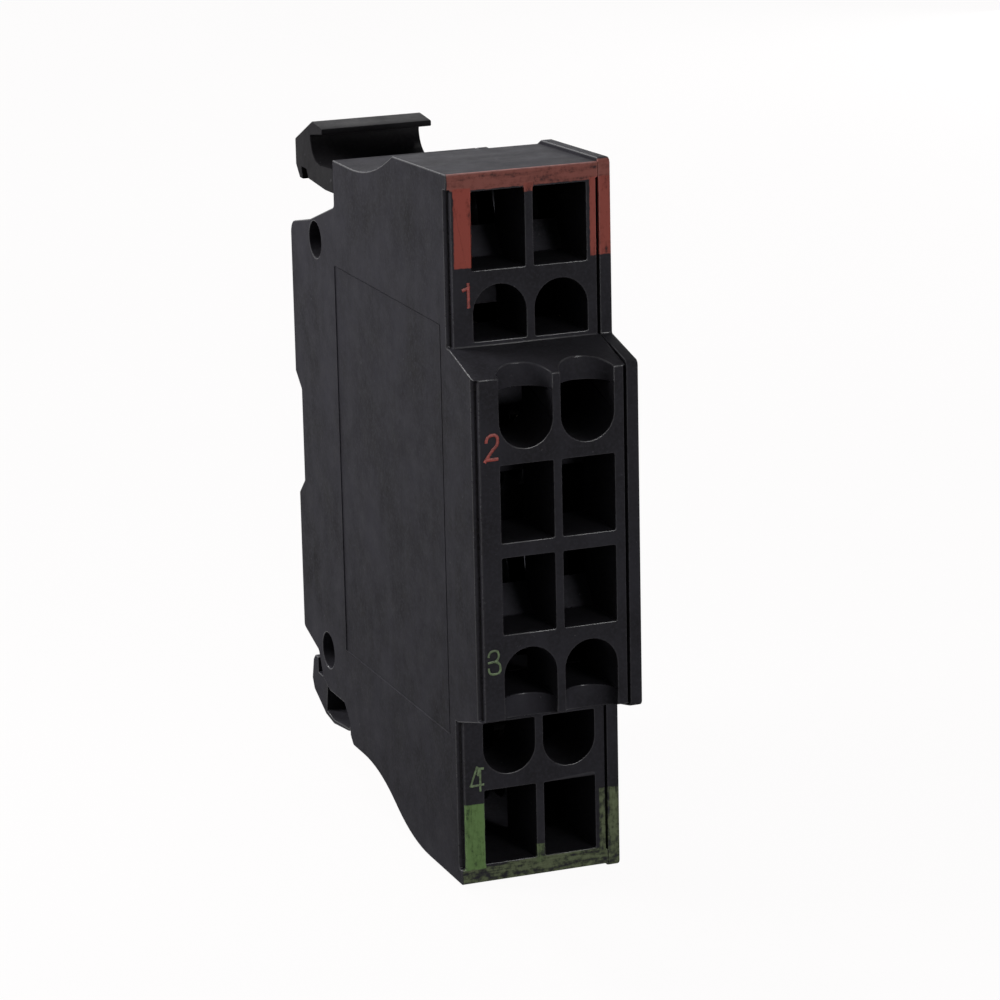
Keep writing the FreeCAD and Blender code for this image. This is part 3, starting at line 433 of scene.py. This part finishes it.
# Each numeral as lines through points across and up its own width and height; true marks a
# line that is rounded.
NUMERAL_STROKES = {
    "1": (
        (((0.85, 1.0), (0.85, 0.0)), False),
        (((0.0, 0.72), (0.85, 0.8)), False),
    ),
    "2": (
        (((0.08, 0.74), (0.1, 1.02), (0.98, 1.06), (0.98, 0.62), (0.5, 0.42), (0.02, 0.02)), True),
        (((-0.08, -0.06), (0.1, 0.06)), False),
        (((0.04, 0.04), (1.0, 0.04)), False),
    ),
    "3": (
        (((0.05, 0.76), (0.1, 1.04), (0.95, 1.06), (0.95, 0.58), (0.5, 0.54)), True),
        (((0.0, 0.5), (0.55, 0.54)), False),
        (((0.5, 0.54), (1.06, 0.5), (1.1, 0.0), (0.5, -0.06), (0.06, 0.02), (0.06, 0.26)), True),
    ),
    "4": (
        (((0.72, 0.0), (0.72, 0.94)), False),
        (((0.52, 1.0), (0.0, 0.22)), False),
        (((0.0, 0.24), (1.0, 0.26)), False),
        (((0.58, 0.62), (0.62, 0.92)), False),
        (((0.52, 0.92), (1.0, 0.88)), False),
        (((0.5, 0.66), (0.76, 0.8)), False),
    ),
}


class MouldingSettings(bpy.types.PropertyGroup):
    """Sizes and colours of the plastic mouldings."""

    edge_radius: FloatProperty(
        name="Edge radius", description="Rounding of the moulded edges", default=0.07 * MM,
        unit="LENGTH",
    )
    edge_segments: IntProperty(
        name="Edge segments", description="Faces across each rounded edge", default=2, min=1, max=4
    )
    grain: FloatProperty(
        name="Grain", description="Size of the moulded surface grain", default=0.13 * MM,
        unit="LENGTH",
    )
    case_colour: FloatVectorProperty(
        name="Case colour", description="Charcoal of the housing and cover", subtype="COLOR",
        size=4, default=hex_colour("#282729"),
    )
    case_pale: FloatVectorProperty(
        name="Clouding", description="Paler tone of flow clouds and scuffs", subtype="COLOR",
        size=4, default=hex_colour("#3B3A40"),
    )
    lever_colour: FloatVectorProperty(
        name="Lever colour", description="Charcoal of the latch lever", subtype="COLOR", size=4,
        default=hex_colour("#18171A"),
    )
    red_colour: FloatVectorProperty(
        name="Red lacquer", description="Colour of the upper field", subtype="COLOR", size=4,
        default=hex_colour("#AB564C"),
    )
    green_colour: FloatVectorProperty(
        name="Green lacquer", description="Colour of the lower field", subtype="COLOR", size=4,
        default=hex_colour("#75945D"),
    )


class NumeralSettings(bpy.types.PropertyGroup):
    """Sizes and colours of the printed terminal numbers."""

    stroke: FloatProperty(
        name="Stroke", description="Width of a numeral's line", default=0.2 * MM, unit="LENGTH"
    )
    fine_stroke: FloatProperty(
        name="Fine stroke", description="Line width of the worn numbers 3 and 4",
        default=0.14 * MM, unit="LENGTH",
    )
    film: FloatProperty(
        name="Film", description="How far the print stands proud of the face",
        default=0.015 * MM, unit="LENGTH",
    )
    red_ink: FloatVectorProperty(
        name="Red ink", description="Ink of numbers 1 and 2", subtype="COLOR", size=4,
        default=hex_colour("#B44B42"),
    )
    green_ink: FloatVectorProperty(
        name="Green ink", description="Ink of numbers 3 and 4", subtype="COLOR", size=4,
        default=hex_colour("#7C9268"),
    )


class StudioSettings(bpy.types.PropertyGroup):
    """Camera and light of the studio."""

    lens: FloatProperty(
        name="Lens", description="Focal length in millimetres", default=148.0, min=20.0
    )
    camera_place: FloatVectorProperty(
        name="Camera place", description="Where the camera stands", unit="LENGTH", size=3,
        default=(-82.64 * MM, -241.23 * MM, 62.29 * MM),
    )
    heading: FloatProperty(
        name="Heading", description="Turn of the camera to the block's right",
        default=math.radians(20.72), subtype="ANGLE",
    )
    tilt: FloatProperty(
        name="Tilt", description="How far the camera looks down", default=math.radians(14.85),
        subtype="ANGLE",
    )
    roll: FloatProperty(
        name="Roll", description="Lean of the camera about its own axis",
        default=math.radians(-1.25), subtype="ANGLE",
    )
    floor_colour: FloatVectorProperty(
        name="Floor", description="Pale floor and backdrop", subtype="COLOR", size=4,
        default=hex_colour("#FFFEFE"),
    )
    floor_bounce: FloatVectorProperty(
        name="Floor bounce", description="Tone of the light that the floor throws back",
        subtype="COLOR", size=4, default=hex_colour("#6C6B6B"),
    )


class CONTACTBLOCK_OT_mouldings(bpy.types.Operator):
    """Round the edges of the housing, cover, lever and carrier and give them their plastics"""

    bl_idname = "contactblock.mouldings"
    bl_label = "Mouldings"

    def execute(self, context):
        settings = context.scene.contactblock_mouldings
        skin = case_material(settings, "moulded_polyamide_charcoal", 0.55, 0.03)
        edge = case_material(settings, "moulded_polyamide_rubbed_edge", 0.27, 0.28)
        lever = lever_material(settings)
        slide = carrier_material()
        rows = (
            ("housing", "case_moulding", "case", "case", skin, edge),
            ("side_cover", "cover_moulding", "case", "case", skin, edge),
            ("latch_lever", "lever_moulding", "latch", "lever", lever, lever),
            ("plunger", "carrier_moulding", "carrier", "carrier", slide, slide),
        )
        for node, name, body, slot, face, rim in rows:
            radius, segments = settings.edge_radius, settings.edge_segments
            piece = soft_edged(node, name, radius, segments, face, rim)
            finish_piece(piece, body, slot, node)
        return {"FINISHED"}


class CONTACTBLOCK_OT_metal(bpy.types.Operator):
    """Give the rails, clamps, springs, bridges and tips their metals"""

    bl_idname = "contactblock.metal"
    bl_label = "Inner metal"

    def execute(self, context):
        # tinned copper, hot dipped and rolled: soft grey with a warm cast
        tinned = metal(
            "tinned_copper_strip", hex_colour("#6F6B66"), hex_colour("#98938C"), 0.34,
            (0.6, 0.05, 0.6),
        )
        # stainless spring strip, its colour darkened well below bright steel as painted shade for
        # the deep openings it sits in; rolled lines along its length
        strip = metal(
            "stainless_spring_strip", hex_colour("#292A2D"), hex_colour("#3C3D40"), 0.5,
            (0.05, 0.8, 0.8),
        )
        # drawn spring wire with die lines round its turns
        wire = metal(
            "drawn_spring_wire", hex_colour("#8C8D90"), hex_colour("#B2B3B6"), 0.3,
            (0.4, 0.04, 0.4),
        )
        # rolled copper alloy, slightly browned
        alloy = metal(
            "rolled_copper_alloy", hex_colour("#A8774F"), hex_colour("#C6966B"), 0.3,
            (0.05, 0.6, 0.6),
        )
        # silver alloy, pressed and a little matt
        silver = metal(
            "pressed_silver_alloy", hex_colour("#BDBBB4"), hex_colour("#DAD8D2"), 0.28,
            (0.3, 0.3, 0.3),
        )
        finishes = (
            ("terminal_rail", tinned), ("clamp_spring", strip), ("return_spring", wire),
            ("break_pressure_spring", wire), ("make_pressure_spring", wire),
            ("break_bridge_tips", silver), ("make_bridge_tips", silver), ("contact_tip", silver),
            ("break_bridge", alloy), ("make_bridge", alloy),
        )
        for name, node in frame["nodes"].items():
            finish = next((made for start, made in finishes if name.startswith(start)), None)
            if finish is not None:
                give_material(node, finish)
        return {"FINISHED"}


class CONTACTBLOCK_OT_numerals(bpy.types.Operator):
    """Print the terminal numbers beside the openings"""

    bl_idname = "contactblock.numerals"
    bl_label = "Terminal numbers"

    def execute(self, context):
        settings = context.scene.contactblock_numerals
        red = ink("pad_print_red", settings.red_ink)
        green = ink("pad_print_green", settings.green_ink)
        bold, fine = settings.stroke, settings.fine_stroke
        # number, ink, face, left and lower edge, width and height in millimetres, and line width
        rows = (
            ("1", red, END_FACE, -4.14, 13.32, 0.45, 1.45, bold),
            ("2", red, MIDDLE_FACE, -4.36, 5.33, 0.78, 1.4, bold),
            ("3", green, MIDDLE_FACE, -4.48, -7.13, 0.7, 1.27, fine),
            ("4", green, END_FACE, -4.34, -15.43, 0.85, 1.55, fine),
        )
        for number, material, face, left, low, width, height, line in rows:
            piece = self.stroke(context, number, width, height, line, settings.film)
            piece.location = (left * MM, face, low * MM)
            settle(piece)
            give_material(piece, material)
            finish_piece(piece, "case", "case")
        return {"FINISHED"}

    def stroke(self, context, number, width, height, line_width, film):
        """One numeral as a bent round bar pressed flat to the print's film."""
        bpy.ops.object.select_all(action="DESELECT")
        bpy.ops.curve.primitive_nurbs_path_add(location=(0, 0, 0))
        piece = context.view_layer.objects.active
        piece.name = "numeral_" + number
        curve = piece.data
        curve.splines.clear()
        for points, rounded in NUMERAL_STROKES[number]:
            line = curve.splines.new("NURBS" if rounded else "POLY")
            line.points.add(len(points) - 1)
            for point, (across, up) in zip(line.points, points):
                point.co = (across * width * MM, 0, up * height * MM, 1)
            if rounded:
                line.order_u = 3
                line.use_endpoint_u = True
        curve.bevel_depth = line_width / 2
        curve.bevel_resolution = 2
        curve.resolution_u = 5
        curve.use_fill_caps = True
        bpy.ops.object.convert(target="MESH")
        piece = context.view_layer.objects.active
        piece.scale = (1, film * 2 / line_width, 1)
        return piece


class CONTACTBLOCK_OT_studio(bpy.types.Operator):
    """Set the floor, the soft lights, the world and the camera"""

    bl_idname = "contactblock.studio"
    bl_label = "Studio"

    def execute(self, context):
        settings = context.scene.contactblock_studio
        scene = context.scene
        scene.view_settings.view_transform = "Standard"
        self.floor(settings)
        self.lights()
        self.world(scene)
        self.camera(scene, settings)
        return {"FINISHED"}

    def seen(self, tree, lit):
        """1 for rays from the camera or through glass; in gloss, as far as that side is lit."""
        path = add_node(tree, "ShaderNodeLightPath").outputs
        gloss = maths(tree, "MULTIPLY", path["Is Glossy Ray"], lit)
        shown = maths(tree, "MAXIMUM", path["Is Camera Ray"], gloss)
        return maths(tree, "MAXIMUM", shown, path["Is Transmission Ray"])

    def floor(self, settings):
        """A wide floor that shows as white paper with the block's shadow on it, and throws
        little light back up at the block."""
        bpy.ops.object.select_all(action="DESELECT")
        bpy.ops.mesh.primitive_plane_add(size=3.0, location=(0, 0, CAD_LOW.z - 0.05 * MM))
        floor = bpy.context.view_layer.objects.active
        floor.name = "floor"
        settle(floor)
        material, tree, shader, place = new_material("painted_studio_floor")
        patches = noise(tree, place, 120.0, 2.0)
        dimmer = [channel * 0.985 for channel in settings.floor_colour[:3]] + [1.0]
        tone = blend_colour(tree, patches, dimmer, settings.floor_colour)
        tree.links.new(tone, shader.inputs["Base Color"])
        shader.inputs["Roughness"].default_value = 0.8
        glow = add_node(tree, "ShaderNodeEmission", None, Color=tone, Strength=1.0)
        # a little of the floor's own shading is kept, which holds the block's shadow
        paper = add_node(
            tree, "ShaderNodeMixShader", None, i0=0.97, i1=shader.outputs["BSDF"],
            i2=glow.outputs["Emission"],
        )
        dull = add_node(tree, "ShaderNodeBsdfDiffuse", None, Color=settings.floor_bounce)
        # the paper lies under and behind the block; the room in front of it is dark
        along = add_node(tree, "ShaderNodeSeparateXYZ", None, Vector=place).outputs["Y"]
        lit = spread(tree, along, -0.1, 0.04, 0.06, 0.6)
        both = add_node(
            tree, "ShaderNodeMixShader", None, i0=self.seen(tree, lit), i1=dull.outputs["BSDF"],
            i2=paper.outputs["Shader"],
        )
        output = next(node for node in tree.nodes if node.bl_idname == "ShaderNodeOutputMaterial")
        tree.links.new(both.outputs["Shader"], output.inputs["Surface"])
        give_material(floor, material)

    def lights(self):
        """A near key high on the left, a light behind and above, a low fill in front that
        reaches into the openings, a small lamp overhead that glints on the upward edges, and a
        soft light for the two sides turned away from the camera."""
        # name, place in metres, side of the square in metres, and power in watts
        rows = (
            ("key_left", (-0.085, 0.02, 0.07), 0.05, 0.1),
            ("back_top", (-0.05, 0.36, 0.42), 0.1, 1.0),
            ("front_fill", (0.115, -0.46, 0.05), 0.11, 0.69),
            ("top_glint", (0.12, -0.07, 0.34), 0.03, 0.45),
            ("right_back", (0.24, 0.22, 0.02), 0.15, 0.5),
        )
        target = Vector((0, -0.015, 0))
        for name, place, size, power in rows:
            bpy.ops.object.select_all(action="DESELECT")
            bpy.ops.object.light_add(type="AREA", location=place)
            lamp = bpy.context.view_layer.objects.active
            lamp.name = name
            lamp.data.shape = "SQUARE"
            lamp.data.size = size
            lamp.data.energy = power
            # the glint lamp lights nothing but the gloss of the edges
            lamp.visible_diffuse = name != "top_glint"
            aim = target - Vector(place)
            lamp.rotation_euler = aim.to_track_quat("-Z", "Y").to_euler()

    def world(self, scene):
        """A weak even sky that the camera and gloss see as white paper."""
        world = bpy.data.worlds.new("white_paper_sky")
        world.use_nodes = True
        scene.world = world
        tree = world.node_tree
        tree.nodes.clear()
        sky = add_node(tree, "ShaderNodeBackground", None, Color=(1, 1, 1, 1), Strength=0.08)
        paper = add_node(tree, "ShaderNodeBackground", None, Color=(1, 1, 1, 1), Strength=1.0)
        towards = add_node(tree, "ShaderNodeTexCoord").outputs["Generated"]
        along = add_node(tree, "ShaderNodeSeparateXYZ", None, Vector=towards).outputs["Y"]
        # as over the floor, gloss sees the room in front of the block as dark
        lit = spread(tree, along, -0.6, 0.1, 0.05, 1.0)
        mix = add_node(
            tree, "ShaderNodeMixShader", None, i0=self.seen(tree, lit),
            i1=sky.outputs["Background"], i2=paper.outputs["Background"],
        )
        output = add_node(tree, "ShaderNodeOutputWorld")
        tree.links.new(mix.outputs["Shader"], output.inputs["Surface"])

    def camera(self, scene, settings):
        """The photograph's viewpoint, a long lens to the block's left and a little above."""
        bpy.ops.object.select_all(action="DESELECT")
        bpy.ops.object.camera_add(location=settings.camera_place)
        camera = bpy.context.view_layer.objects.active
        camera.name = "photo_camera"
        camera.data.lens = settings.lens
        camera.data.sensor_width = 36.0
        camera.data.clip_start = 0.01
        level = Matrix.Rotation(-settings.heading, 4, "Z") @ Matrix.Rotation(
            math.radians(90) - settings.tilt, 4, "X"
        )
        turned = level @ Matrix.Rotation(settings.roll, 4, "Z")
        camera.rotation_euler = turned.to_euler()
        scene.camera = camera


class CONTACTBLOCK_PT_panel(bpy.types.Panel):
    """Lists the settings and the steps"""

    bl_label = "Contact Block"
    bl_idname = "CONTACTBLOCK_PT_panel"
    bl_space_type = "VIEW_3D"
    bl_region_type = "UI"
    bl_category = "Contact Block"

    def draw(self, context):
        layout = self.layout
        for group in (
            context.scene.contactblock_mouldings,
            context.scene.contactblock_numerals,
            context.scene.contactblock_studio,
        ):
            box = layout.box()
            for name in group.__annotations__:
                box.prop(group, name)
        for step in STEPS:
            layout.operator(step.bl_idname)


STEPS = (
    CONTACTBLOCK_OT_mouldings,
    CONTACTBLOCK_OT_metal,
    CONTACTBLOCK_OT_numerals,
    CONTACTBLOCK_OT_studio,
)
CLASSES = (MouldingSettings, NumeralSettings, StudioSettings, *STEPS, CONTACTBLOCK_PT_panel)


def register():
    for cls in CLASSES:
        bpy.utils.register_class(cls)
    bpy.types.Scene.contactblock_mouldings = PointerProperty(type=MouldingSettings)
    bpy.types.Scene.contactblock_numerals = PointerProperty(type=NumeralSettings)
    bpy.types.Scene.contactblock_studio = PointerProperty(type=StudioSettings)


def unregister():
    del bpy.types.Scene.contactblock_studio
    del bpy.types.Scene.contactblock_numerals
    del bpy.types.Scene.contactblock_mouldings
    for cls in reversed(CLASSES):
        bpy.utils.unregister_class(cls)


def main():
    register()
    bpy.ops.contactblock.mouldings()
    bpy.ops.contactblock.metal()
    bpy.ops.contactblock.numerals()
    bpy.ops.contactblock.studio()


if __name__ == "__main__":
    main()
